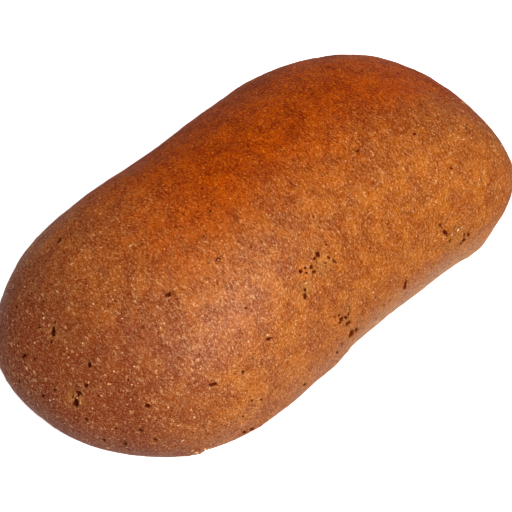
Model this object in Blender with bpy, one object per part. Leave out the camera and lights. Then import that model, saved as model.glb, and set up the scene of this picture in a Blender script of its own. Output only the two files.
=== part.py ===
# A brown tin loaf of bread, lying on its flat underside. Metres, +Z up, the length along X.
import math
import random

import bmesh
import bpy
from mathutils import Vector, noise

# The driving sizes. The belly is the widest line round the loaf, and the front faces -Y.
LENGTH = 0.250
WIDTH = 0.130
HEIGHT = 0.093
BELLY_HEIGHT = 0.036

# The flat underside, as a share of the outline at the belly. Of the quarter turn from the belly down
# to the middle of the underside, this much is wall.
UNDERSIDE_SHARE = 0.73
WALL_TURN = 0.6

# Exponents of the curves: 2 is an ellipse, and more is squarer
OUTLINE_POWER = 2.5
SHOULDER_POWER = 2.2
CROWN_POWER = 2.0
TUCK_POWER = 1.88

# Both long sides pull in near the middle, as shares of the width and of the half length. The front
# pulls in more gently and nearer the +X end, and the back more tightly and nearer the -X end.
WAIST_DEPTH = 0.167
WAIST_FRONT = {"middle": 0.26, "reach": 0.62}
WAIST_BACK = {"middle": -0.16, "reach": 0.42}

# Where the outline swells or flattens: the angle from +X in degrees, the growth as a share of the
# size, and the reach in radians
CORNERS = (
    {"angle": 311, "growth": 0.116, "reach": 0.38},
    {"angle": 238, "growth": 0.027, "reach": 0.40},
    {"angle": 205, "growth": -0.031, "reach": 0.50},
)

# Low swells of the crust, which fade out towards the table
SWELL_HEIGHT = 0.0009
SWELL_LENGTH = 0.034
SWELL_FADE = 0.010
SWELL_OCTAVES = 2

# The grid on each side of the cube that is blown up into the loaf. Its edges are split down to the
# finest one at a pore, or to a share of a wider spot's radius, and may be longer by a share of their
# distance from it.
FACES_PER_SIDE = 22
FINEST_EDGE = 0.0010
EDGE_SHARE = 0.3
EDGE_GROWTH = 0.9
REFINING_PASSES = 5

# A place on the crust is how far along the loaf it lies, from -1 to 1, and how far round from the
# crown towards the front, in degrees. A torn patch is a shallow dent full of pits.
TORN_PATCHES = (
    {"along": -0.06, "round": 50, "radius": 0.0080, "pits": 10, "largest": 0.0016},
    {"along": -0.14, "round": 57, "radius": 0.0022, "pits": 2, "largest": 0.0014},
    {"along": -0.03, "round": 84, "radius": 0.0050, "pits": 7, "largest": 0.0014},
    {"along": -0.01, "round": 97, "radius": 0.0028, "pits": 3, "largest": 0.0019},
    {"along": 0.41, "round": 86, "radius": 0.0070, "pits": 7, "largest": 0.0017},
)
DENT_DEPTH = 0.0005
DENT_SPREAD = 1.3
PIT_DEPTH_SHARE = 1.0
PIT_SIZE_RANGE = (0.65, 1.0)
PIT_TURN_RANGE = 0.4

# Single open pores
PORES = (
    {"along": -0.96, "round": 46, "radius": 0.0021},
    {"along": -0.94, "round": 32, "radius": 0.0016},
    {"along": -0.95, "round": 71, "radius": 0.0015},
    {"along": -0.87, "round": -3, "radius": 0.0019},
    {"along": -0.87, "round": 23, "radius": 0.0013},
    {"along": -0.96, "round": -18, "radius": 0.0013},
    {"along": -0.86, "round": -35, "radius": 0.0013},
    {"along": -0.55, "round": 21, "radius": 0.0014},
    {"along": -0.56, "round": 65, "radius": 0.0016},
    {"along": -0.82, "round": 82, "radius": 0.0013},
    {"along": -0.44, "round": 68, "radius": 0.0012},
    {"along": 0.18, "round": 94, "radius": 0.0017},
)
PORE_DEPTH_SHARE = 1.1
HOLLOW_POWER = 1.5

# Lumps low on the front wall, placed along the loaf and up from the table. One that doesn't stand
# out but goes in has a height below 0.
FRONT_LUMPS = (
    {"along": -0.007, "up": 0.013, "radius": 0.015, "height": 0.0015},
    {"along": 0.084, "up": 0.017, "radius": 0.013, "height": 0.0015},
    {"along": -0.086, "up": 0.018, "radius": 0.009, "height": 0.0012},
    {"along": -0.056, "up": 0.018, "radius": 0.011, "height": 0.0009},
    {"along": -0.034, "up": 0.016, "radius": 0.011, "height": -0.0008},
    {"along": 0.031, "up": 0.012, "radius": 0.012, "height": -0.0006},
    {"along": 0.058, "up": 0.013, "radius": 0.009, "height": 0.0004},
)
SEED = 7

CRUST_COLOUR = (0.40, 0.15, 0.045, 1.0)
CRUST_ROUGHNESS = 0.55


def clear_scene():
    for obj in list(bpy.data.objects):
        bpy.data.objects.remove(obj, do_unlink=True)


def signed_power(value, power):
    return math.copysign(abs(value) ** power, value)


def turned(angle):
    # The same angle between -pi and pi
    return (angle + math.pi) % (2 * math.pi) - math.pi


def bell(value):
    return math.exp(-value * value)


def outline(angle):
    # The outline seen from above, for a half size of 1 each way
    grow = 1.0
    for corner in CORNERS:
        grow += corner["growth"] * bell(turned(angle - math.radians(corner["angle"])) / corner["reach"])
    across = signed_power(math.cos(angle), 2 / OUTLINE_POWER)
    aside = signed_power(math.sin(angle), 2 / OUTLINE_POWER)
    return across * grow, aside * grow


def waist(along, angle):
    # The share of the width left at this place along the loaf, blended from the back to the front
    front = (1 - math.sin(angle)) / 2
    middle = front * WAIST_FRONT["middle"] + (1 - front) * WAIST_BACK["middle"]
    reach = front * WAIST_FRONT["reach"] + (1 - front) * WAIST_BACK["reach"]
    return 1 - WAIST_DEPTH * bell((along - middle) / reach)


def profile(rise):
    # The share of the outline and the height, at an angle over the belly
    if rise >= 0:
        upward = math.sin(rise) ** (2 / CROWN_POWER)
        height = BELLY_HEIGHT + (HEIGHT - BELLY_HEIGHT) * upward
        return math.cos(rise) ** (2 / SHOULDER_POWER), height
    fall = -rise / (math.pi / 2)
    if fall > WALL_TURN:
        return UNDERSIDE_SHARE * (1 - fall) / (1 - WALL_TURN), 0.0
    tuck = fall / WALL_TURN * math.pi / 2
    share = 1 - (1 - UNDERSIDE_SHARE) * (1 - math.cos(tuck) ** (2 / TUCK_POWER))
    return share, BELLY_HEIGHT * (1 - math.sin(tuck) ** (2 / TUCK_POWER))


def loaf_point(direction):
    # Where a direction from the middle of the dough meets the crust
    angle = math.atan2(direction.y, direction.x)
    rise = math.asin(max(-1.0, min(1.0, direction.z)))
    share, height = profile(rise)
    across, aside = outline(angle)
    along = share * across
    return Vector((LENGTH / 2 * along, WIDTH / 2 * share * aside * waist(along, angle), height))


def place_on_crust(along, round_deg):
    side = math.sqrt(1 - along * along)
    turn = math.radians(round_deg)
    return loaf_point(Vector((along, -side * math.sin(turn), side * math.cos(turn))))


def place_on_front(along, up):
    # On the wall under the belly, at this distance along the loaf and height
    tuck = math.asin((1 - up / BELLY_HEIGHT) ** (TUCK_POWER / 2))
    rise = -tuck * WALL_TURN
    share = profile(rise)[0]
    turn = math.acos(signed_power(along / (LENGTH / 2 * share), OUTLINE_POWER / 2))
    flat = math.cos(rise)
    return loaf_point(Vector((flat * math.cos(turn), -flat * math.sin(turn), math.sin(rise))))


def torn_pits(patch, rng):
    # The pits of a torn patch in a spiral of even spread, the first in its middle
    pits = []
    golden_turn = math.pi * (3 - math.sqrt(5))
    for i in range(patch["pits"]):
        out = patch["radius"] * math.sqrt(i / patch["pits"])
        turn = i * golden_turn + rng.uniform(-PIT_TURN_RANGE, PIT_TURN_RANGE)
        along = patch["along"] + out * math.cos(turn) / (LENGTH / 2)
        round_deg = patch["round"] + math.degrees(out * math.sin(turn) / (WIDTH / 2))
        radius = patch["largest"] * rng.uniform(*PIT_SIZE_RANGE)
        pits.append((place_on_crust(along, round_deg), radius, radius * PIT_DEPTH_SHARE))
    return pits


def wide_dents():
    # Each as its middle, its radius and its depth
    dents = []
    for patch in TORN_PATCHES:
        middle = place_on_crust(patch["along"], patch["round"])
        dents.append((middle, patch["radius"] * DENT_SPREAD, DENT_DEPTH))
    return dents


def small_spots():
    # Pits, pores and lumps, each as its middle, its radius and its depth, which is below 0 for a lump
    rng = random.Random(SEED)
    spots = []
    for patch in TORN_PATCHES:
        spots += torn_pits(patch, rng)
    for pore in PORES:
        point = place_on_crust(pore["along"], pore["round"])
        spots.append((point, pore["radius"], pore["radius"] * PORE_DEPTH_SHARE))
    for lump in FRONT_LUMPS:
        spots.append((place_on_front(lump["along"], lump["up"]), lump["radius"], -lump["height"]))
    return spots


def even_sphere():
    # A cube cut into a grid and rounded to a sphere, with the grid kept even
    bm = bmesh.new()
    bmesh.ops.create_cube(bm, size=2)
    bmesh.ops.subdivide_edges(bm, edges=bm.edges[:], cuts=FACES_PER_SIDE - 1, use_grid_fill=True)
    for vert in bm.verts:
        even = Vector([math.tan(part * math.pi / 4) for part in vert.co])
        vert.co = even.normalized()
    return bm


def refine(bm, spots):
    # Shorter edges near each spot, so that it comes out round
    for _ in range(REFINING_PASSES):
        place = {vert: loaf_point(vert.co) for vert in bm.verts}
        split = []
        for edge in bm.edges:
            start, end = (place[vert] for vert in edge.verts)
            middle = (start + end) / 2
            length = (end - start).length
            if length < FINEST_EDGE:
                continue
            wanted = []
            for point, radius, _ in spots:
                gap = max((point - middle).length - radius, 0.0)
                wanted.append(max(FINEST_EDGE, radius * EDGE_SHARE) + EDGE_GROWTH * gap)
            if length > min(wanted):
                split.append(edge)
        bmesh.ops.subdivide_edges(bm, edges=split, cuts=1, use_grid_fill=True)
        many_sided = [face for face in bm.faces if len(face.verts) > 4]
        bmesh.ops.triangulate(bm, faces=many_sided)
        for vert in bm.verts:
            vert.co.normalize()


def above_table(height, fade):
    # 0 on the underside and 1 well above it, with a smooth start and end
    share = min(max(height / fade, 0.0), 1.0)
    return share * share * (3 - 2 * share)


def raise_swells(bm):
    bm.normal_update()
    moves = []
    for vert in bm.verts:
        swell = SWELL_HEIGHT * noise.fractal(vert.co / SWELL_LENGTH, 1.0, 2.0, SWELL_OCTAVES)
        moves.append(vert.normal * swell * above_table(vert.co.z, SWELL_FADE))
    for vert, move in zip(bm.verts, moves):
        vert.co += move


def sink(bm, spots):
    # A round-bottomed hollow at each spot, or a lump where its depth is below 0
    bm.normal_update()
    for point, radius, depth in spots:
        middle = min(bm.verts, key=lambda vert: (vert.co - point).length_squared)
        centre, normal = middle.co.copy(), middle.normal.copy()
        for vert in bm.verts:
            share = (vert.co - centre).length / radius
            if share < 1 and vert.co.z > 0:
                vert.co -= normal * depth * (1 - share * share) ** HOLLOW_POWER


def set_down(bm):
    # The box takes the named sizes, its middle over the origin and the underside on the table
    sizes = (LENGTH, WIDTH, HEIGHT)
    low = Vector([min(vert.co[i] for vert in bm.verts) for i in range(3)])
    high = Vector([max(vert.co[i] for vert in bm.verts) for i in range(3)])
    for vert in bm.verts:
        for i in range(3):
            vert.co[i] = (vert.co[i] - low[i]) / (high[i] - low[i]) * sizes[i]
            if i < 2:
                vert.co[i] -= sizes[i] / 2
    flat = [face for face in bm.faces if all(vert.co.z == 0 for vert in face.verts)]
    bmesh.ops.dissolve_faces(bm, faces=flat)


def crust_material():
    material = bpy.data.materials.new("crust")
    material.use_nodes = True
    shader = material.node_tree.nodes["Principled BSDF"]
    shader.inputs["Base Color"].default_value = CRUST_COLOUR
    shader.inputs["Roughness"].default_value = CRUST_ROUGHNESS
    shader.inputs["Metallic"].default_value = 0.0
    return material


def make_loaf():
    spots = small_spots()
    bm = even_sphere()
    refine(bm, spots)
    for vert in bm.verts:
        vert.co = loaf_point(vert.co)
    raise_swells(bm)
    sink(bm, wide_dents())
    sink(bm, spots)
    set_down(bm)
    mesh = bpy.data.meshes.new("loaf")
    bm.to_mesh(mesh)
    bm.free()
    mesh.materials.append(crust_material())
    mesh.shade_smooth()
    loaf = bpy.data.objects.new("loaf", mesh)
    bpy.context.collection.objects.link(loaf)


def main():
    clear_scene()
    make_loaf()


main()
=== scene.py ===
import math
import random

import bmesh
import bpy
import numpy as np
from mathutils import Matrix, Vector, noise
from mathutils.bvhtree import BVHTree


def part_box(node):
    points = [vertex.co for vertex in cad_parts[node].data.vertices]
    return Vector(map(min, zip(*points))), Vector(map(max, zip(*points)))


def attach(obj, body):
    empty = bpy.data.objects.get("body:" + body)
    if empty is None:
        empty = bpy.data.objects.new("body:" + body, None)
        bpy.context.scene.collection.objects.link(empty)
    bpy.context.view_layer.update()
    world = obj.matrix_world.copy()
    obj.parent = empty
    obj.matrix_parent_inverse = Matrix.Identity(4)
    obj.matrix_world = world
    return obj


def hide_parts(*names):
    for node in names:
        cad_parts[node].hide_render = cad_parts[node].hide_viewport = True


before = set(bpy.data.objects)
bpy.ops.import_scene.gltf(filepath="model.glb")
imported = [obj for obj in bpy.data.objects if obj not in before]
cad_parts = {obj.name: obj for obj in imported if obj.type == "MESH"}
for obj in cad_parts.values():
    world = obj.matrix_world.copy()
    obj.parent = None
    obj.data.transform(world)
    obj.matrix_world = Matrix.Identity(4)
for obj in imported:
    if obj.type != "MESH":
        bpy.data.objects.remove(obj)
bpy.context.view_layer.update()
loafLow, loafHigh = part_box("loaf")
loafSize = loafHigh - loafLow
print("loaf frame loaded, mm:", [round(side * 1000, 1) for side in loafSize])

cameraView = {
    "azimuth": -45.05,  # degrees round the loaf, 0 looks along +Y
    "elevation": 46.05,
    "distance": 0.763,
    "focal": 1766.0,  # in pixels of the photo
    "targetHeight": 0.45,  # of the loaf's height
    "targetX": 256.2,  # where the target lies in the photo
    "targetY": 234.8,
    "roll": 0.88,
    "photoSize": 512,
    "sensor": 36.0,
    "clipStart": 0.01,
}


def directionOf(azimuth, elevation):
    # from the loaf towards a camera or a lamp
    a, e = math.radians(azimuth), math.radians(elevation)
    return Vector((math.sin(a) * math.cos(e), -math.cos(a) * math.cos(e), math.sin(e)))


def cameraAxes():
    back = directionOf(cameraView["azimuth"], cameraView["elevation"])
    right = Vector((0, 0, 1)).cross(back).normalized()
    up = back.cross(right)
    roll = math.radians(cameraView["roll"])
    cosine, sine = math.cos(roll), math.sin(roll)
    right, up = right * cosine + up * sine, up * cosine - right * sine
    target = Vector((0, 0, loafSize.z * cameraView["targetHeight"]))
    place = target + back * cameraView["distance"]
    middle = cameraView["photoSize"] / 2
    aside = right * ((middle - cameraView["targetX"]) / cameraView["focal"])
    lift = up * ((cameraView["targetY"] - middle) / cameraView["focal"])
    ahead = (aside + lift - back).normalized()  # the target comes to its place in the photo
    right = (right - ahead * right.dot(ahead)).normalized()
    return place, right, right.cross(ahead), ahead


def addCamera():
    place, right, up, ahead = cameraAxes()
    data = bpy.data.cameras.new("camera")
    data.sensor_width = cameraView["sensor"]
    data.lens = cameraView["focal"] / cameraView["photoSize"] * cameraView["sensor"]
    data.clip_start = cameraView["clipStart"]
    camera = bpy.data.objects.new("camera", data)
    bpy.context.scene.collection.objects.link(camera)
    turn = Matrix((right, up, -ahead)).transposed()
    camera.matrix_world = Matrix.Translation(place) @ turn.to_4x4()
    bpy.context.scene.camera = camera


def photoRay(x, y):
    # from the camera through a pixel of the photo
    place, right, up, ahead = cameraAxes()
    middle = cameraView["photoSize"] / 2
    across, lift = (x - middle) / cameraView["focal"], (middle - y) / cameraView["focal"]
    return place, (ahead + right * across + up * lift).normalized()


addCamera()
print("camera set")


class Wire:
    # a node's output that takes part in sums

    def __init__(self, nodes, socket):
        self.nodes, self.socket = nodes, socket

    def out(self, name):
        return Wire(self.nodes, self.socket.node.outputs[name])

    def maths(self, operation, *others, first=None, clamp=False):
        values = [self if first is None else first, *others]
        settings = {"operation": operation, "use_clamp": clamp}
        return self.nodes.add("ShaderNodeMath", settings, dict(enumerate(values)))

    def __add__(self, other):
        return self.maths("ADD", other)

    def __sub__(self, other):
        return self.maths("SUBTRACT", other)

    def __rsub__(self, other):
        return self.maths("SUBTRACT", self, first=other)

    def __mul__(self, other):
        return self.maths("MULTIPLY", other)

    def __truediv__(self, other):
        return self.maths("DIVIDE", other)

    def __rtruediv__(self, other):
        return self.maths("DIVIDE", self, first=other)

    __radd__, __rmul__ = __add__, __mul__

    def clamped(self):
        return self.maths("ADD", 0.0, clamp=True)

    def step(self, low, high):
        # 0 below low and 1 above high, smoothly; the other way round where low is the larger
        settings = {"interpolation_type": "SMOOTHSTEP"}
        if low > high:
            values = {0: self, 1: high, 2: low, 3: 1.0, 4: 0.0}
        else:
            values = {0: self, 1: low, 2: high, 3: 0.0, 4: 1.0}
        return self.nodes.add("ShaderNodeMapRange", settings, values)


class Nodes:
    # a shader's or a modifier's tree, filled by one method

    def __init__(self, tree):
        self.tree = tree

    def add(self, kind, settings=None, values=None, output=0):
        node = self.tree.nodes.new(kind)
        for name, value in (settings or {}).items():
            setattr(node, name, value)
        for name, value in (values or {}).items():
            if isinstance(value, Wire):
                self.tree.links.new(value.socket, node.inputs[name])
            else:
                node.inputs[name].default_value = value
        return Wire(self, node.outputs[output]) if len(node.outputs) else node

    def mix(self, share, first, second, way="MIX"):
        # of two colours
        settings = {"data_type": "RGBA", "blend_type": way, "clamp_factor": True}
        return self.add("ShaderNodeMix", settings, {0: share, 6: first, 7: second}, output=2)

    def noise(self, place, size, detail=2.0, roughness=0.5, distortion=0.0):
        values = {"Vector": place, "Scale": 1 / size, "Detail": detail, "Roughness": roughness,
                  "Distortion": distortion}
        return self.add("ShaderNodeTexNoise", None, values)

    def cells(self, place, size):
        # cells with a colour each, drawn at random
        return self.add("ShaderNodeTexVoronoi", None, {"Vector": place, "Scale": 1 / size}, "Color")


def colour(red, green, blue):
    # from the 0 to 255 scale of a picture to light
    parts = [part / 255 for part in (red, green, blue)]
    return tuple(p / 12.92 if p <= 0.04045 else ((p + 0.055) / 1.055) ** 2.4 for p in parts) + (1.0,)


def newMaterial(name):
    material = bpy.data.materials.new(name)
    material.use_nodes = True
    material.node_tree.nodes.clear()
    return material, Nodes(material.node_tree)


def finishMaterial(nodes, values):
    shader = nodes.add("ShaderNodeBsdfPrincipled", None, values)
    nodes.add("ShaderNodeOutputMaterial", None, {"Surface": shader})


crustLook = {
    "copper": colour(180, 82, 4),  # the top and the far side
    "amber": colour(208, 110, 18),
    "rose": colour(186, 90, 10),  # duller, pinker clouds
    "cocoa": colour(130, 43, 6),  # the ends: partly a deeper bake, partly painted shade
    "umber": colour(120, 36, 0),  # painted shade between the grains, in their creases and in pits
    "glintAndBran": colour(252, 188, 118),  # pale tips of the grains: partly painted glints, partly pale bran
    "wall": colour(220, 168, 134),  # the paler low wall: partly paler crust, partly painted light thrown up from the pale table
    "golden": colour(218, 148, 66),  # torn patches
    # the inside of the pores: partly darker crumb, partly painted shade
    "hole": colour(112, 34, 2),
    "grainSize": 0.00048,
    "grainStretch": (1.15, 0.5, 0.85),  # the grains lie across the loaf
    "gritSize": 0.0011,
    "fleckSize": 0.0008,
    "creaseSize": 0.0022,
    "cloudSize": 0.0075,
    "patchSize": 0.030,
    "pitSize": 0.0017,
    "bumpHeight": 0.00055,
    "roughness": 0.34,
    "specular": 0.01,
    "coat": 0.75,
    "coatRoughness": 0.58,
    "sheen": 0.02,
    "sheenRoughness": 0.25,
    "sheenTint": colour(250, 222, 200),
}

# where each kind of mark sets in and where it is full, in metres on the loaf or on its pattern's scale
crustMarks = {
    "nearEnd": (-0.050, -0.098),
    "farEnd": (0.100, 0.132),
    "lowWall": (0.048, 0.014),
    "wallAlong": (-0.06, 0.03),
    "dullAlong": (-0.055, 0.03),
    "amber": (0.62, 0.98),
    "rose": (0.46, 0.62),
    "gaps": (0.48, 0.38),
    "tips": (0.515, 0.605),
    "creases": (0.026, 0.006),
    "creaseBreaks": (1.10, 0.85),
    "darkFlecks": (0.12, 0.06),
    "paleFlecks": (0.96, 0.985),
    "pits": (0.46, 0.36),
    "holes": (0.10, 0.60),
}

# how far clouds shift the edges of the wide zones, in metres
edgeShifts = {"nearEnd": 0.03, "farEnd": 0.02, "lowWall": 0.016, "dullAlong": 0.02}

# how strongly each mark tells in the colour
markShares = {
    "wideInAmber": 0.6,
    "rose": 0.25,
    "nearEnd": 0.85,
    "farEnd": 0.8,
    "wallLostAtFarEnd": 0.75,
    "grain": 0.8,
    "grit": 0.2,
    "gaps": 0.95,
    "gapsLostAtNearEnd": 0.35,
    "creases": 0.55,
    "darkFlecks": 0.30,
    "tips": 0.80,
    "tipsLostAtNearEnd": 0.5,
    "paleFlecks": 0.45,
    "tornGrit": 1.9,
    "tornGap": 0.35,
    "torn": 0.75,
    "pits": 1.5,
}

# how strongly they tell in the relief, the roughness and the coat
reliefShares = {"grit": 1.4, "pale": 0.3, "crease": 0.5}
roughShares = {"grain": 0.16, "dark": 0.2, "depth": 0.3}
# glow here is the share of the far side's painted shade
coatShares = {"grain": 3.0, "grainGap": 0.9, "dull": 0.85, "glow": 0.9}

# painted shade: the far half of the loaf, turned from the lamps, is painted darker and more saturated
farSideShade = {
    "tint": colour(252, 188, 10),
    "across": (-0.028, 0.018),  # where it sets in and is full, in metres
    "along": (-0.085, 0.005),
    "up": (0.015, 0.060),
    "size": 0.030,  # of the clouds at its edges
    "acrossShift": 0.03,
    "alongShift": 0.05,
    "least": 0.25,  # low on the wall
}


def farSideShadeShare(nodes, place):
    # painted shade: the far half of the loaf, turned from the lamps, is painted darker and more saturated,
    # less so low on the wall and not at the near end
    apart = nodes.add("ShaderNodeSeparateXYZ", None, {0: place})
    wide = nodes.noise(place, farSideShade["size"], 3.0)
    across = (apart.out("Y") + wide * farSideShade["acrossShift"]).step(*farSideShade["across"])
    along = (apart.out("X") + wide * farSideShade["alongShift"]).step(*farSideShade["along"])
    return across * along * (farSideShade["least"] + apart.out("Z").step(*farSideShade["up"]) * (1 - farSideShade["least"]))


def crustMaterial():
    look, marks, shifts, shares = crustLook, crustMarks, edgeShifts, markShares
    material, nodes = newMaterial("crust")
    place = nodes.add("ShaderNodeTexCoord", output="Object")
    depth = nodes.add("ShaderNodeAttribute", {"attribute_name": "poreDepth"}, output="Fac")
    torn = nodes.add("ShaderNodeAttribute", {"attribute_name": "tornEdge"}, output="Fac")
    apart = nodes.add("ShaderNodeSeparateXYZ", None, {0: place})
    along, height = apart.out("X"), apart.out("Z")
    across = nodes.add("ShaderNodeMapping", None, {"Vector": place, "Scale": look["grainStretch"]})

    wide = nodes.noise(place, look["patchSize"], 3.0)
    clouds = nodes.noise(place, look["cloudSize"], 3.0, 0.6)
    rosy = nodes.noise(place, look["cloudSize"] * 1.7, 4.0, 0.65)
    grain = nodes.noise(across, look["grainSize"], 3.0, 0.65, 1.2)
    grit = nodes.noise(across, look["gritSize"], 3.0, 0.65, 0.3)
    wobble = nodes.noise(place, look["fleckSize"], 1.0)
    shift = wobble * look["fleckSize"]
    loose = nodes.add("ShaderNodeVectorMath", {"operation": "ADD"}, {0: across, 1: shift})
    fleck = nodes.add("ShaderNodeSeparateColor", None, {0: nodes.cells(loose, look["fleckSize"])})
    creases = (nodes.noise(across, look["creaseSize"], 2.0, 0.5, 1.4) - 0.5).maths("ABSOLUTE")
    pits = nodes.noise(place, look["pitSize"], 2.0, 0.6)

    # the wide zones
    nearEnd = (along + wide * shifts["nearEnd"]).step(*marks["nearEnd"])
    farEnd = (along + clouds * shifts["farEnd"]).step(*marks["farEnd"])
    warm = (wide * shares["wideInAmber"] + clouds).step(*marks["amber"])
    tone = nodes.mix(warm, look["copper"], look["amber"])
    tone = nodes.mix(rosy.step(*marks["rose"]) * shares["rose"], tone, look["rose"])
    # darker ends, partly a deeper bake, partly painted shade
    ends = (nearEnd * shares["nearEnd"] + farEnd * shares["farEnd"]).clamped()
    tone = nodes.mix(ends, tone, look["cocoa"])
    # a paler low wall, partly painted light thrown up from the pale table
    lowWall = (height + clouds * shifts["lowWall"]).step(*marks["lowWall"])
    lowWall = lowWall * (1 - farEnd * shares["wallLostAtFarEnd"])
    tone = nodes.mix(lowWall * along.step(*marks["wallAlong"]), tone, look["wall"])

    # painted shade in the gaps and creases between the grains, with dark flecks, then pale tips and flecks:
    # partly painted glints, partly pale bran
    grains = grain * shares["grain"] + grit * shares["grit"]
    gaps = grains.step(*marks["gaps"]) * (shares["gaps"] - nearEnd * shares["gapsLostAtNearEnd"])
    crease = creases.step(*marks["creases"]) * (grit + clouds).step(*marks["creaseBreaks"])
    darkFlecks = fleck.step(*marks["darkFlecks"]) * shares["darkFlecks"]
    dark = (gaps + crease * shares["creases"] + darkFlecks).clamped()
    # umber here is painted shade in the gaps and creases
    tone = nodes.mix(dark, tone, look["umber"])
    # pale tips and flecks, partly painted glints, partly pale bran
    tips = grains.step(*marks["tips"]) * shares["tips"] * (1 - nearEnd * shares["tipsLostAtNearEnd"])
    paleFlecks = fleck.step(*marks["paleFlecks"]) * shares["paleFlecks"]
    pale = (tips + paleFlecks).clamped() * (1 - dark)
    tone = nodes.mix(pale, tone, look["glintAndBran"])

    # torn patches with painted shade in their pits, the painted shade on the far side, and the pores with
    # painted shade inside
    torn = torn * (grit * shares["tornGrit"] - shares["tornGap"]).clamped()
    tone = nodes.mix((torn * shares["torn"]).clamped(), tone, look["golden"])
    # painted shade in small pits of the torn patches
    pitted = (torn * pits.step(*marks["pits"]) * shares["pits"]).clamped()
    tone = nodes.mix(pitted, tone, look["umber"])
    # the share of the painted shade on the far side
    glow = farSideShadeShare(nodes, place)
    tone = nodes.mix(glow, tone, farSideShade["tint"], "MULTIPLY")
    # painted shade inside the pores, over their darker crumb
    tone = nodes.mix(depth.step(*marks["holes"]), tone, look["hole"])

    relief = grain + grit * reliefShares["grit"] + pale * reliefShares["pale"]
    relief = relief - crease * reliefShares["crease"]
    values = {"Strength": 1.0, "Distance": look["bumpHeight"], "Height": relief}
    bump = nodes.add("ShaderNodeBump", None, values)
    rough = look["roughness"] + grain * roughShares["grain"] + dark * roughShares["dark"]
    rough = rough + depth * roughShares["depth"]
    dull = (along + clouds * shifts["dullAlong"]).step(*marks["dullAlong"])
    grainy = (grain * coatShares["grain"] - coatShares["grainGap"]).clamped()
    coat = (1 - dull * coatShares["dull"]) * grainy * look["coat"]
    # where the far side's painted shade lies, the coat fades too
    coat = coat * (1 - dark) * (1 - glow * coatShares["glow"]) * (1 - depth)
    finishMaterial(nodes, {"Base Color": tone, "Roughness": rough.clamped(), "Normal": bump,
                           "Coat Weight": coat, "Coat Roughness": look["coatRoughness"],
                           "Specular IOR Level": look["specular"], "Sheen Weight": look["sheen"],
                           "Sheen Roughness": look["sheenRoughness"], "Sheen Tint": look["sheenTint"]})
    return material


# the pale bran flakes are partly pale bran, partly painted glints
branLook = {"pale": colour(255, 210, 150), "tan": colour(200, 112, 40), "roughness": 0.5,
            "mottleSize": 0.0003, "mottle": 0.4, "bumpHeight": 0.0001}


def branMaterial():
    look = branLook
    material, nodes = newMaterial("bran")
    tone = nodes.add("ShaderNodeAttribute", {"attribute_name": "tone"}, output="Fac")
    place = nodes.add("ShaderNodeTexCoord", output="Object")
    fine = nodes.noise(place, look["mottleSize"])
    mottled = (tone + fine * look["mottle"] - look["mottle"] / 2).clamped()
    shade = nodes.mix(mottled, look["tan"], look["pale"])
    # the far side's painted shade, on the bran too
    shade = nodes.mix(farSideShadeShare(nodes, place), shade, farSideShade["tint"], "MULTIPLY")
    bump = nodes.add("ShaderNodeBump", None, {"Distance": look["bumpHeight"], "Height": fine})
    finishMaterial(nodes, {"Base Color": shade, "Roughness": look["roughness"], "Normal": bump})
    return material


loafShape = {
    "bellyShare": 0.387,  # height of the widest line, of the whole height
    "undersideShare": 0.73,  # outline of the flat underside, of the belly's
    "wallTurn": 0.6,
    "outlinePower": 2.5,
    "shoulderPower": 2.2,
    "crownPower": 2.0,
    "tuckPower": 1.88,
    "waistDepth": 0.167,
    "waistFront": (0.26, 0.62),  # middle and reach along the loaf
    "waistBack": (-0.16, 0.42),
    "corners": ((311, 0.116, 0.38), (238, 0.027, 0.40), (205, -0.031, 0.50)),  # angle, growth, reach
    "swellHeight": 0.0009,
    "swellLength": 0.034,
    "swellFade": 0.010,
    "swellOctaves": 2,
    "coarseGrid": 40,  # on which the pores are placed
    "gridPerSide": 98,
    "finestEdge": 0.00028,
    "edgeShare": 0.12,  # of a spot's radius, where that is coarser
    "edgeGrowth": 0.35,
    "edgeSlack": 1.3,
    "passes": 3,
}


def signedPower(values, power):
    return np.sign(values) * np.abs(values) ** power


def loafPoints(directions):
    # where directions from the middle of the dough meet the crust, before the swells
    shape = loafShape
    angle = np.arctan2(directions[:, 1], directions[:, 0])
    rise = np.arcsin(np.clip(directions[:, 2], -1, 1))
    grow = np.ones(len(angle))
    for turn, growth, reach in shape["corners"]:
        apart = (angle - math.radians(turn) + math.pi) % (2 * math.pi) - math.pi
        grow += growth * np.exp(-(apart / reach) ** 2)
    across = signedPower(np.cos(angle), 2 / shape["outlinePower"]) * grow
    aside = signedPower(np.sin(angle), 2 / shape["outlinePower"]) * grow

    fall = np.clip(-rise / (math.pi / 2), 0, 1)
    tuck = np.clip(fall / shape["wallTurn"], 0, 1) * math.pi / 2
    tucked = np.maximum(np.cos(tuck), 0) ** (2 / shape["tuckPower"])
    wall = 1 - (1 - shape["undersideShare"]) * (1 - tucked)
    wall *= np.where(fall > shape["wallTurn"], (1 - fall) / (1 - shape["wallTurn"]), 1)
    belly = shape["bellyShare"]
    low = belly * (1 - np.sin(tuck) ** (2 / shape["tuckPower"]))
    high = belly + (1 - belly) * np.sin(np.maximum(rise, 0)) ** (2 / shape["crownPower"])
    share = np.where(rise >= 0, np.maximum(np.cos(rise), 0) ** (2 / shape["shoulderPower"]), wall)
    height = np.where(rise >= 0, high, np.where(fall >= shape["wallTurn"], 0, low))

    along = share * across
    front = (1 - np.sin(angle)) / 2
    middle = front * shape["waistFront"][0] + (1 - front) * shape["waistBack"][0]
    reach = front * shape["waistFront"][1] + (1 - front) * shape["waistBack"][1]
    narrow = 1 - shape["waistDepth"] * np.exp(-((along - middle) / reach) ** 2)
    half = loafSize / 2
    return np.stack([half.x * along, half.y * share * aside * narrow, loafSize.z * height], axis=1)


def smoothRise(values, low, high):
    share = np.clip((values - low) / (high - low), 0, 1)
    return share * share * (3 - 2 * share)


def pointsOf(bm):
    return np.array([vert.co for vert in bm.verts])


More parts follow.
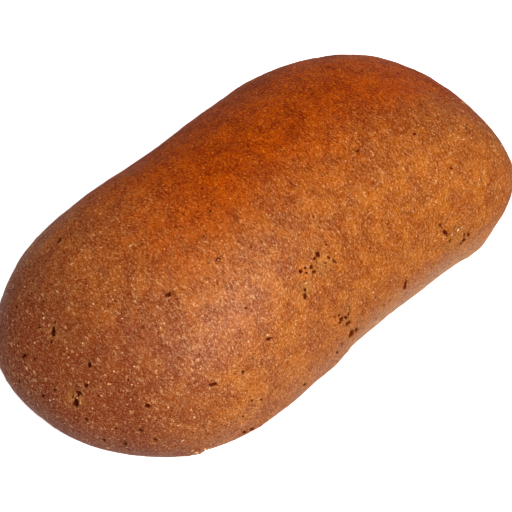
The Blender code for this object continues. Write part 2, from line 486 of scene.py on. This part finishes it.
def placeVerts(bm, points):
    for vert, point in zip(bm.verts, points):
        vert.co = point


def evenSphere(perSide):
    # a gridded cube rounded to a sphere, with its grid kept even
    bm = bmesh.new()
    bmesh.ops.create_cube(bm, size=2)
    bmesh.ops.subdivide_edges(bm, edges=bm.edges[:], cuts=perSide - 1, use_grid_fill=True)
    directions = np.tan(pointsOf(bm) * math.pi / 4)
    placeVerts(bm, directions / np.linalg.norm(directions, axis=1, keepdims=True))
    return bm


def fitToBox(points):
    # the CAD's box is the loaf's
    low, high = points.min(axis=0), points.max(axis=0)
    return np.array(loafLow) + (points - low) / (high - low) * np.array(loafSize)


def withSwells(bm):
    # the low swells of the crust, then the box
    bm.normal_update()
    shape, points = loafShape, pointsOf(bm)
    fade = smoothRise(points[:, 2], 0, shape["swellFade"])
    length, octaves = shape["swellLength"], shape["swellOctaves"]
    swells = np.array([noise.fractal(vert.co / length, 1.0, 2.0, octaves) for vert in bm.verts])
    normals = np.array([vert.normal for vert in bm.verts])
    return fitToBox(points + normals * (shape["swellHeight"] * fade * swells)[:, None])


def refine(bm, spots):
    # shorter edges near each spot, down to the finest
    shape = loafShape
    middles = np.array([spot["point"] for spot in spots])
    radii = np.array([spot["reach"] for spot in spots])
    for _ in range(shape["passes"]):
        bm.verts.index_update()
        places = fitToBox(loafPoints(pointsOf(bm)))
        ends = np.array([[vert.index for vert in edge.verts] for edge in bm.edges])
        start, end = places[ends[:, 0]], places[ends[:, 1]]
        lengths = np.linalg.norm(end - start, axis=1)
        wanted = np.full(len(lengths), 1.0)
        for middle, radius in zip(middles, radii):
            gaps = np.maximum(np.linalg.norm((start + end) / 2 - middle, axis=1) - radius, 0)
            finest = max(shape["finestEdge"], radius * shape["edgeShare"])
            wanted = np.minimum(wanted, finest + shape["edgeGrowth"] * gaps)
        split = [edge for edge, long in zip(bm.edges, lengths > wanted * shape["edgeSlack"]) if long]
        bmesh.ops.subdivide_edges(bm, edges=split, cuts=1, use_grid_fill=True)
        bmesh.ops.triangulate(bm, faces=[face for face in bm.faces if len(face.verts) > 4])
        directions = pointsOf(bm)
        placeVerts(bm, directions / np.linalg.norm(directions, axis=1, keepdims=True))


# x and y in the photo, then mm across, mm long, how far the long side leans from level, and the depth
crustPores = {
    "nearEnd": (
        (52.5, 331.5, 1.7, 3.2, 76, 1.7), (55, 322.5, 0.8, 0.9, 0, 0.8), (39.5, 327, 0.9, 1.2, 20, 0.8),
        (43.5, 301, 0.7, 0.9, 90, 0.5), (16.5, 307, 0.8, 0.9, 0, 0.7), (23.5, 356, 1.3, 1.7, 70, 1.3),
        (34.5, 359.5, 0.8, 1.2, 90, 0.5), (51.5, 342, 0.7, 1.4, 80, 0.6), (89.5, 365.5, 1.5, 1.9, 85, 1.4),
        (85.5, 386, 1.6, 1.4, 0, 0.9), (78, 393, 1.6, 1.7, 40, 1.2), (72, 396.5, 0.9, 1.1, 0, 0.9),
        (75.5, 403.5, 2.1, 2.6, 90, 1.9), (54.5, 390, 1.0, 1.3, 60, 0.7), (42.5, 396, 0.9, 1.1, 90, 0.9),
        (87, 419.5, 1.1, 1.3, 0, 1.1), (19.5, 381.5, 0.8, 1.3, 120, 0.6), (18, 344, 0.7, 0.9, 0, 0.5),
        (104, 440, 1.3, 1.3, 0, 1.1), (125.5, 444, 1.1, 1.4, 60, 0.9), (155.5, 440, 1.2, 1.6, 20, 0.9),
        (140.5, 430, 0.9, 1.7, 170, 0.9), (147, 406, 1.5, 1.8, 150, 1.5), (116.5, 428.5, 0.8, 1.0, 0, 0.6),
        (98.5, 396.5, 0.8, 1.0, 0, 0.5), (128, 380, 0.8, 1.0, 0, 0.5), (168, 294.5, 1.4, 1.6, 40, 1.3),
    ),
    "front": (
        (213, 384.5, 1.1, 2.9, 5, 1.1), (243, 372.5, 1.1, 1.4, 80, 1.2), (261, 399.5, 1.0, 1.1, 0, 1.0),
        (252, 400.5, 0.9, 1.0, 0, 0.7), (243.5, 417, 0.8, 0.8, 0, 0.9), (244.5, 432.5, 1.3, 1.8, 80, 0.9),
        (251.5, 429, 1.5, 2.1, 50, 0.9), (219, 437.5, 0.9, 1.1, 0, 0.8), (269, 339, 1.0, 2.2, 10, 0.8),
        (305, 385, 1.4, 1.6, 60, 1.0), (246, 308, 0.7, 0.9, 0, 0.6), (218, 259, 0.8, 2.4, 10, 0.5),
        (210, 211, 0.7, 0.8, 0, 0.8), (59, 240, 1.0, 2.4, 35, 0.8), (357.5, 151, 0.9, 1.4, 20, 0.7),
        (415, 133.5, 1.0, 1.4, 30, 1.0), (452, 168.5, 0.7, 1.0, 0, 0.5), (405.5, 285, 1.1, 4.2, 58, 0.7),
        (337.5, 352.5, 1.0, 2.0, 55, 1.0), (342, 343.5, 0.8, 1.1, 20, 0.6), (363.5, 328, 0.6, 1.6, 50, 0.7),
        (390, 300.5, 0.5, 2.0, 20, 0.4), (384, 305.5, 0.5, 2.2, 80, 0.4), (376, 319, 0.7, 1.4, 45, 0.6),
    ),
    "middlePatch": (
        (318.5, 254.2, 1.5, 2.0, 165, 1.7), (315, 258.7, 1.0, 1.2, 60, 1.2), (326.5, 244.3, 0.7, 0.9, 0, 0.8),
        (329.5, 257.5, 0.8, 1.6, 145, 1.1), (335, 261.3, 0.7, 2.0, 135, 1.0), (325.8, 263, 0.6, 0.7, 0, 0.7),
        (311.7, 267, 1.2, 1.6, 40, 1.2), (313.9, 272, 1.2, 1.7, 170, 1.3), (300.8, 271.3, 1.5, 1.6, 30, 1.2),
        (305.6, 267.6, 0.9, 1.1, 0, 0.8), (307, 272.8, 0.9, 1.2, 20, 0.8), (306, 289.8, 0.9, 1.0, 0, 0.9),
        (305.8, 296.3, 1.6, 1.9, 90, 1.5),
    ),
    "frontPatch": (
        (339, 315, 0.9, 1.2, 60, 0.9), (342.6, 319.2, 1.5, 1.9, 30, 1.3), (346.8, 318.2, 1.2, 1.5, 120, 1.2),
        (349, 314.6, 0.9, 1.3, 30, 0.9), (340.2, 322.8, 0.9, 1.2, 90, 0.9), (350, 322.5, 1.0, 1.3, 60, 0.9),
        (347.6, 324.2, 1.2, 1.6, 60, 1.2),
        (335, 316.8, 0.6, 0.8, 0, 0.6), (352.3, 334.4, 2.6, 3.3, 30, 1.9), (357, 330.6, 1.3, 2.2, 80, 1.5),
    ),
    "farPatch": (
        (441, 226, 0.6, 2.4, 120, 0.6), (445.8, 233.2, 1.3, 3.1, 125, 1.4), (450.2, 241.3, 1.2, 1.5, 40, 1.0),
        (461, 244, 0.9, 1.1, 0, 0.8), (465, 234.8, 1.2, 1.8, 60, 1.1), (468.6, 235, 0.9, 1.4, 80, 0.9),
        (464, 240.2, 1.2, 1.4, 20, 1.0),
    ),
}

# x and y in the photo of each torn patch's middle, its radius in mm and its dent in mm
tornPatches = ((323, 262, 6.0, 0.35), (306, 286, 4.5, 0.25), (345, 320, 4.2, 0.4), (354, 333, 2.8, 0.4),
               (456, 238, 6.0, 0.35), (76, 398, 3.6, 0.3), (52, 331, 2.6, 0.25))

# lumps and hollows low on the front, all in mm: along the loaf, up, the radius and how far each
# stands out
frontLumps = ((-7, 13, 15, 1.5), (84, 17, 13, 1.5), (-86, 18, 9, 1.2), (-56, 18, 11, 0.9),
              (-34, 16, 11, -0.8), (31, 12, 12, -0.6), (58, 13, 9, 0.4))

# the pores that the photo doesn't show, sizes in mm and places in metres
hiddenPores = {
    "count": 42,
    "radius": (0.35, 0.85),
    "longer": (1, 2),
    "depth": (0.6, 1.3),
    "seed": 11,
    "start": (0.3, 0.2, 0.15),  # the half sides of the oval round the loaf that each is aimed from
    "aim": ((-0.09, 0.09), (-0.03, 0.03), (0.02, 0.06)),
    "lowest": 0.006,
    "turnedAway": -0.05,
}
mmPerMetre = 1000


crustSearch = {"steps": 10, "stepShare": 0.01}


def crustUnder(tree, x, y):
    # the crust seen at a pixel of the photo, or the nearest crust towards the loaf's middle
    for _ in range(crustSearch["steps"]):
        point, normal, _, _ = tree.ray_cast(*photoRay(x, y))
        if point:
            return point, normal
        x += (cameraView["targetX"] - x) * crustSearch["stepShare"]
        y += (cameraView["targetY"] - y) * crustSearch["stepShare"]
    return None, None


def poreSpots():
    # each pore on the crust, with its own flat axes
    bm = evenSphere(loafShape["coarseGrid"])
    placeVerts(bm, loafPoints(pointsOf(bm)))
    placeVerts(bm, withSwells(bm))
    tree = BVHTree.FromBMesh(bm)
    bm.free()
    spots = []
    _, right, _, ahead = cameraAxes()

    def addSpot(point, normal, across, long, lean, depth, kind):
        level = (right - normal * right.dot(normal)).normalized()
        rise = normal.cross(level)
        turn = math.radians(lean)
        longAxis = level * math.cos(turn) + rise * math.sin(turn)
        slant = (ahead - normal * ahead.dot(normal)).normalized()
        seen = max(abs(ahead.dot(normal)), poreEdge["leastSeen"]) if kind == "pore" else 1.0
        spots.append({
            "kind": kind,
            "point": np.array(point),
            "normal": np.array(normal),
            "longAxis": np.array(longAxis),
            "wideAxis": np.array(normal.cross(longAxis)),
            "wide": across / 2 / mmPerMetre,
            "long": long / 2 / mmPerMetre,
            "reach": max(across, long) / 2 / mmPerMetre / seen,
            "depth": depth / mmPerMetre,
            "slant": np.array(slant),
            "seen": seen,
        })

    for pores in crustPores.values():
        for x, y, across, long, lean, depth in pores:
            point, normal, _, _ = tree.ray_cast(*photoRay(x, y))
            if point:
                widen, deepen = poreEdge["widen"], poreEdge["deepen"]
                addSpot(point, normal, across * widen, long * widen, lean, depth * deepen, "pore")
    for x, y, radius, depth in tornPatches:
        point, normal, _, _ = tree.ray_cast(*photoRay(x, y))
        addSpot(point, normal, radius * 2, radius * 2, 0, depth, "patch")
    for along, up, radius, height in frontLumps:
        start = Vector((along / mmPerMetre, -1, up / mmPerMetre))
        point, normal, _, _ = tree.ray_cast(start, Vector((0, 1, 0)))
        addSpot(point, normal, radius * 2, radius * 2, 0, height, "lump")
    draw = random.Random(hiddenPores["seed"])
    toCamera = directionOf(cameraView["azimuth"], cameraView["elevation"])
    added = 0
    while added < hiddenPores["count"]:
        outward = Vector([draw.gauss(0, 1) for _ in range(3)]).normalized()
        oval = Vector([way * half for way, half in zip(outward, hiddenPores["start"])])
        start = Vector((0, 0, loafSize.z / 2)) + oval
        aim = Vector([draw.uniform(*span) for span in hiddenPores["aim"]])
        point, normal, _, _ = tree.ray_cast(start, (aim - start).normalized())
        if not point or point.z < hiddenPores["lowest"] or normal.dot(toCamera) > hiddenPores["turnedAway"]:
            continue
        radius = draw.uniform(*hiddenPores["radius"])
        depth = draw.uniform(*hiddenPores["depth"])
        long = radius * 2 * draw.uniform(*hiddenPores["longer"])
        addSpot(point, normal, radius * 2, long, draw.uniform(0, 180), depth, "pore")
        added += 1
    return spots


# distances are shares of a spot's own radius unless they are well under a millimetre, in metres
poreEdge = {
    "raggedness": 0.6,
    "raggedSize": 0.0008,
    "patchRaggedness": 1.1,
    "patchRaggedSize": 0.0036,
    "lumpRaggedness": 0.3,
    "leastSeen": 0.36,  # a pore on a slanting wall is longer than it looks, up to this share
    "widen": 1.3,
    "deepen": 0.95,
    "rimHeight": 0.00014,
    "rimAt": 1.25,
    "rimWidth": 0.25,
    "wallPower": 3.0,
    "floorPower": 0.7,
    "reach": 2.2,
    "margin": 0.0006,
    "patchEdge": 1.15,
    "patchFade": 0.8,
    "patchTorn": 0.8,
    "tornAt": 1.3,
    "tornWidth": 0.45,
    "torn": 0.4,
    "tornDepth": 0.0016,  # the depth of a pore whose edge is fully torn
}

raggedNames = {"pore": ("raggedSize", "raggedness"), "patch": ("patchRaggedSize", "patchRaggedness"),
               "lump": ("patchRaggedSize", "lumpRaggedness")}


def openPores(points, spots):
    # sinks each pore and patch; gives the new points, and how deep and how torn each one is
    edge = poreEdge
    deep, torn = np.zeros(len(points)), np.zeros(len(points))
    moved = points.copy()
    for spot in spots:
        away = points - spot["point"]
        close = np.linalg.norm(away, axis=1) < spot["reach"] * edge["reach"] + edge["margin"]
        near = np.flatnonzero(close & (points[:, 2] > 0))
        if not len(near):
            continue
        off = away[near] - np.outer(away[near] @ spot["slant"], spot["slant"]) * (1 - spot["seen"])
        a, b = off @ spot["longAxis"], off @ spot["wideAxis"]
        size, amount = (edge[name] for name in raggedNames[spot["kind"]])
        ragged = np.array([noise.noise(Vector(point) / size) for point in points[near]])
        share = np.hypot(a / spot["long"], b / spot["wide"]) * (1 + amount * ragged)
        if spot["kind"] == "lump":
            moved[near] += spot["normal"] * (smoothRise(1 - share, 0, 1) * spot["depth"])[:, None]
            continue
        if spot["kind"] == "patch":
            sink = smoothRise(1 - share, 0, 1)
            moved[near] -= spot["normal"] * (sink * spot["depth"])[:, None]
            frayed = smoothRise(edge["patchEdge"] - share, 0, edge["patchFade"]) * edge["patchTorn"]
            torn[near] = np.maximum(torn[near], frayed)
            continue
        sink = np.clip(1 - share ** edge["wallPower"], 0, 1) ** edge["floorPower"]
        rim = np.exp(-((share - edge["rimAt"]) / edge["rimWidth"]) ** 2) * edge["rimHeight"]
        moved[near] += spot["normal"] * (rim - sink * spot["depth"])[:, None]
        deep[near] = np.maximum(deep[near], sink)
        ring = np.exp(-((share - edge["tornAt"]) / edge["tornWidth"]) ** 2)
        torn[near] = np.maximum(torn[near], ring * min(spot["depth"] / edge["tornDepth"], 1) * edge["torn"])
    return moved, deep, torn


def addAttribute(mesh, name, values):
    layer = mesh.attributes.new(name, "FLOAT", "POINT")
    layer.data.foreach_set("value", np.asarray(values, np.float32))


def newGroup(name, inputs):
    # a modifier's tree, its first input the mesh; gives the nodes, the input wires and their identifiers
    tree = bpy.data.node_groups.new(name, "GeometryNodeTree")
    tree.interface.new_socket("Mesh", in_out="INPUT", socket_type="NodeSocketGeometry")
    names = {}
    for label, kind in inputs.items():
        names[label] = tree.interface.new_socket(label, in_out="INPUT", socket_type=kind).identifier
    tree.interface.new_socket("Mesh", in_out="OUTPUT", socket_type="NodeSocketGeometry")
    nodes = Nodes(tree)
    return nodes, nodes.add("NodeGroupInput"), names


def runGroup(piece, nodes, names, values, name):
    # the modifier's result as a plain mesh of its own
    modifier = piece.modifiers.new(name, "NODES")
    modifier.node_group = nodes.tree
    for label, value in values.items():
        modifier[names[label]] = value
    result = piece.evaluated_get(bpy.context.evaluated_depsgraph_get())
    mesh = bpy.data.meshes.new_from_object(result)
    mesh.name = name
    piece.modifiers.remove(modifier)
    made = bpy.data.objects.new(name, mesh)
    bpy.context.scene.collection.objects.link(made)
    return made


crustRelief = {"Pebble Height": 0.00022, "Pebble Size": 0.0030, "Ripple Height": 0.00035,
               "Ripple Size": 0.009, "Fade Height": 0.004}


def reliefGroup(material):
    nodes, given, names = newGroup("crustRelief", {label: "NodeSocketFloat" for label in crustRelief})
    place = nodes.add("GeometryNodeInputPosition")
    normal = nodes.add("GeometryNodeInputNormal")
    deep = nodes.add("GeometryNodeInputNamedAttribute", {"data_type": "FLOAT"}, {"Name": "poreDepth"})
    height = nodes.add("ShaderNodeSeparateXYZ", None, {0: place}).out("Z")
    pebbles = {"Vector": place, "Scale": 1 / given.out("Pebble Size"), "Detail": 1.0}
    pebble = nodes.add("ShaderNodeTexNoise", None, pebbles)
    ripples = {"Vector": place, "Scale": 1 / given.out("Ripple Size"), "Detail": 2.0, "Distortion": 0.4}
    ripple = nodes.add("ShaderNodeTexNoise", None, ripples)
    rise = (pebble - 0.5) * given.out("Pebble Height") + (ripple - 0.5) * given.out("Ripple Height")
    fade = (height / given.out("Fade Height")).clamped() * (1 - deep)
    values = {0: normal, "Scale": rise * 2 * fade}
    offset = nodes.add("ShaderNodeVectorMath", {"operation": "SCALE"}, values)
    values = {"Geometry": given.out("Mesh"), "Offset": offset}
    shaped = nodes.add("GeometryNodeSetPosition", None, values)
    real = nodes.add("GeometryNodeRealizeInstances", None, {0: shaped})
    painted = nodes.add("GeometryNodeSetMaterial", None, {"Geometry": real, "Material": material})
    nodes.add("NodeGroupOutput", None, {"Mesh": painted})
    return nodes, names


def makeCrust(material):
    spots = poreSpots()
    bm = evenSphere(loafShape["gridPerSide"])
    refine(bm, spots)
    placeVerts(bm, loafPoints(pointsOf(bm)))
    points = withSwells(bm)
    points, deep, torn = openPores(points, spots)
    placeVerts(bm, points)
    mesh = bpy.data.meshes.new("crustBase")
    bm.to_mesh(mesh)
    bm.free()
    mesh.shade_smooth()
    addAttribute(mesh, "poreDepth", deep)
    addAttribute(mesh, "tornEdge", torn)
    base = bpy.data.objects.new("crustBase", mesh)
    bpy.context.scene.collection.objects.link(base)
    nodes, names = reliefGroup(material)
    crust = runGroup(base, nodes, names, crustRelief, "crust")
    bpy.data.objects.remove(base)
    crust.data.shade_smooth()
    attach(crust, "root")
    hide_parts("loaf")
    print("crust made,", len(crust.data.polygons), "faces,", len(spots), "pores and patches")
    return crust


branFlakes = {"Density": 130000.0, "Flake Length": 0.00045, "Seed": 5}

# shares of the flake length, and how the draws are spread
branShape = {
    "clearHeight": (0.001, 0.006),  # none on the underside
    "smallest": 0.3,
    "growth": 0.9,
    "growthPower": 2.5,
    "width": (0.35, 0.8),
    "thickness": 0.3,
    "turn": 6.283,
    "tonePower": 1.3,
}


def branGroup(material):
    kinds = {"Density": "NodeSocketFloat", "Flake Length": "NodeSocketFloat", "Seed": "NodeSocketInt"}
    nodes, given, names = newGroup("branScatter", kinds)
    shape, seed = branShape, given.out("Seed")
    place = nodes.add("GeometryNodeInputPosition")
    height = nodes.add("ShaderNodeSeparateXYZ", None, {0: place}).out("Z")
    density = given.out("Density") * height.step(*shape["clearHeight"])
    points = nodes.add("GeometryNodeDistributePointsOnFaces", {"distribute_method": "RANDOM"},
                       {"Mesh": given.out("Mesh"), "Density": density, "Seed": seed})
    flake = nodes.add("GeometryNodeMeshIcoSphere", None, {"Radius": 1.0, "Subdivisions": 1})

    def drawn(low, high, shift):
        return nodes.add("FunctionNodeRandomValue", {"data_type": "FLOAT"},
                         {2: low, 3: high, "Seed": seed + shift}, output=1)

    growth = drawn(0.0, 1.0, 1).maths("POWER", shape["growthPower"]) * shape["growth"]
    size = (shape["smallest"] + growth) * given.out("Flake Length")
    values = {0: size, 1: size * drawn(*shape["width"], 2), 2: size * shape["thickness"]}
    scale = nodes.add("ShaderNodeCombineXYZ", None, values)
    values = {"Axis": (0, 0, 1), "Angle": drawn(0.0, shape["turn"], 3)}
    spin = nodes.add("FunctionNodeAxisAngleToRotation", None, values)
    turn = nodes.add("FunctionNodeRotateRotation", {"rotation_space": "LOCAL"},
                     {0: points.out("Rotation"), 1: spin})
    placed = nodes.add("GeometryNodeInstanceOnPoints", None,
                       {"Points": points, "Instance": flake, "Rotation": turn, "Scale": scale})
    tone = drawn(0.0, 1.0, 4).maths("POWER", shape["tonePower"])
    toned = nodes.add("GeometryNodeStoreNamedAttribute", {"data_type": "FLOAT", "domain": "INSTANCE"},
                      {"Geometry": placed, "Name": "tone", "Value": tone})
    real = nodes.add("GeometryNodeRealizeInstances", None, {0: toned})
    painted = nodes.add("GeometryNodeSetMaterial", None, {"Geometry": real, "Material": material})
    nodes.add("NodeGroupOutput", None, {"Mesh": painted})
    return nodes, names


def makeBran(crust, material):
    nodes, names = branGroup(material)
    bran = runGroup(crust, nodes, names, branFlakes, "branFlakes")
    bran.data.shade_smooth()
    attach(bran, "root")
    print("bran scattered,", len(bran.data.polygons), "faces")


# x and y in the photo of each loose flake, its length and width in mm, its lean, and how pale it is
looseFlakes = (
    (192.5, 450.5, 1.5, 0.7, 20, 0.5), (196.5, 452.5, 1.8, 0.9, 150, 0.7), (200.5, 453.5, 1.6, 1.0, 60, 0.9),
    (204.5, 451.5, 2.0, 0.8, 110, 0.8), (208, 450.5, 1.3, 0.8, 35, 0.6), (182.5, 440.6, 1.9, 0.5, 30, 1.0),
    (211, 444, 1.2, 0.6, 70, 0.8), (257, 430, 1.6, 0.9, 25, 0.4), (263, 426, 1.4, 0.7, 40, 0.3),
    (269, 421.5, 1.5, 0.8, 20, 0.4), (441.5, 271.5, 1.6, 0.8, 35, 0.5), (459.5, 264.5, 1.7, 0.7, 30, 0.4),
    (458, 230, 1.3, 0.9, 60, 1.0), (461.5, 227.5, 0.8, 0.6, 20, 0.9), (372.8, 292.5, 0.9, 0.7, 0, 0.9),
    (291, 268, 1.0, 0.6, 80, 0.7), (306, 283, 0.9, 0.7, 30, 0.7), (320, 346, 1.0, 0.5, 60, 0.6),
    (44, 318, 0.9, 0.7, 10, 0.9), (72, 264, 1.6, 0.4, 25, 0.8), (130.5, 246, 1.4, 0.5, 40, 0.8),
)

flakeLook = {
    "pale": colour(252, 216, 158),
    "tan": colour(206, 120, 70),
    "roughness": 0.5,
    "thickness": 0.45,  # of the width
    "raggedness": 0.35,
    "raggedSize": 0.9,
    "shiftSpan": 50,  # of the draws that give each flake a shape of its own
    "raised": 0.0001,
    "seed": 17,
}


def flakeMaterial():
    material, nodes = newMaterial("flake")
    tone = nodes.add("ShaderNodeAttribute", {"attribute_name": "tone"}, output="Fac")
    shade = nodes.mix(tone, flakeLook["tan"], flakeLook["pale"])
    finishMaterial(nodes, {"Base Color": shade, "Roughness": flakeLook["roughness"]})
    return material


def makeFlakes(crust, material):
    # small ragged flakes of crust, lying where the photo shows them
    look, draw = flakeLook, random.Random(flakeLook["seed"])
    surface = bmesh.new()
    surface.from_mesh(crust.data)
    tree = BVHTree.FromBMesh(surface)
    surface.free()
    bm = bmesh.new()
    tones = []
    right = cameraAxes()[1]
    for x, y, long, wide, lean, tone in looseFlakes:
        point, normal = crustUnder(tree, x, y)
        if not point:
            continue
        level = (right - normal * right.dot(normal)).normalized()
        turn = Matrix.Rotation(math.radians(lean), 3, normal)
        axes = Matrix((turn @ level, turn @ normal.cross(level), normal)).transposed()
        made = bmesh.ops.create_icosphere(bm, subdivisions=2, radius=1.0)["verts"]
        shift = Vector([draw.uniform(0, look["shiftSpan"]) for _ in range(3)])
        for vert in made:
            ragged = 1 + look["raggedness"] * noise.noise(vert.co / look["raggedSize"] + shift) * 2
            flat = Vector((vert.co.x * long, vert.co.y * wide, vert.co.z * wide * look["thickness"]))
            vert.co = point + normal * look["raised"] + axes @ (flat * ragged / 2 / mmPerMetre)
        tones += [tone] * len(made)
    mesh = bpy.data.meshes.new("looseFlakes")
    bm.to_mesh(mesh)
    bm.free()
    mesh.shade_smooth()
    addAttribute(mesh, "tone", tones)
    mesh.materials.append(material)
    flakes = bpy.data.objects.new("looseFlakes", mesh)
    bpy.context.scene.collection.objects.link(flakes)
    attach(flakes, "root")
    print("loose flakes laid,", len(mesh.polygons), "faces")


crust = makeCrust(crustMaterial())
makeBran(crust, branMaterial())
makeFlakes(crust, flakeMaterial())


studio = {
    "floorSize": 6.0,
    "floorDrop": 0.0002,
    "floor": colour(240, 240, 240),
    "floorRoughness": 0.9,
    "floorSpecular": 0.2,
    "floorGlow": 0.86,  # a lit table
    "skyLight": 0.18,
    "tableLight": 0.92,  # thrown up by the pale table
    "horizon": (0.15, -0.15),
    "key": {"azimuth": -4, "elevation": 41, "distance": 1.4, "size": 0.7, "power": 22.2},
    "fill": {"azimuth": -100, "elevation": 35, "distance": 1.6, "size": 1.2, "power": 2.6},
    "top": {"azimuth": 10, "elevation": 85, "distance": 1.5, "size": 1.4, "power": 3.4},
    "rim": {"azimuth": 180, "elevation": 10, "distance": 1.4, "size": 0.4, "power": 1.0},
    # this one gives the sheen alone
    "gloss": {"azimuth": 4, "elevation": 47, "distance": 1.4, "size": 1.0, "power": 38.0},
}


def addLamp(name):
    lamp = studio[name]
    data = bpy.data.lights.new(name, "AREA")
    data.shape = "DISK"
    data.size = lamp["size"]
    data.energy = lamp["power"]
    light = bpy.data.objects.new(name, data)
    bpy.context.scene.collection.objects.link(light)
    direction = directionOf(lamp["azimuth"], lamp["elevation"])
    light.location = direction * lamp["distance"] + Vector((0, 0, loafSize.z / 2))
    light.rotation_euler = direction.to_track_quat("Z", "Y").to_euler()
    light.visible_glossy = name == "gloss"
    light.visible_diffuse = name != "gloss"


def addStudio():
    half = studio["floorSize"] / 2
    mesh = bpy.data.meshes.new("floor")
    corners = [(-half, -half, 0), (half, -half, 0), (half, half, 0), (-half, half, 0)]
    mesh.from_pydata(corners, [], [(0, 1, 2, 3)])
    material, nodes = newMaterial("floor")
    finishMaterial(nodes, {"Base Color": studio["floor"], "Roughness": studio["floorRoughness"],
                           "Specular IOR Level": studio["floorSpecular"], "Emission Color": (1, 1, 1, 1),
                           "Emission Strength": studio["floorGlow"]})
    mesh.materials.append(material)
    floor = bpy.data.objects.new("floor", mesh)
    floor.location.z = loafLow.z - studio["floorDrop"]
    bpy.context.scene.collection.objects.link(floor)
    floor.visible_diffuse = floor.visible_glossy = False  # it throws no glare on the crust
    world = bpy.data.worlds.new("studio")
    world.use_nodes = True
    world.node_tree.nodes.clear()
    nodes = Nodes(world.node_tree)
    way = nodes.add("ShaderNodeTexCoord", output="Generated")
    below = nodes.add("ShaderNodeSeparateXYZ", None, {0: way}).out("Z").step(*studio["horizon"])
    glow = below * (studio["tableLight"] - studio["skyLight"]) + studio["skyLight"]
    shader = nodes.add("ShaderNodeBackground", None, {"Color": (1, 1, 1, 1), "Strength": glow})
    nodes.add("ShaderNodeOutputWorld", None, {"Surface": shader})
    world.cycles_visibility.glossy = True
    bpy.context.scene.world = world
    bpy.context.scene.view_settings.view_transform = "Standard"
    for name in ("key", "fill", "top", "rim", "gloss"):
        addLamp(name)


addStudio()
print("studio set")
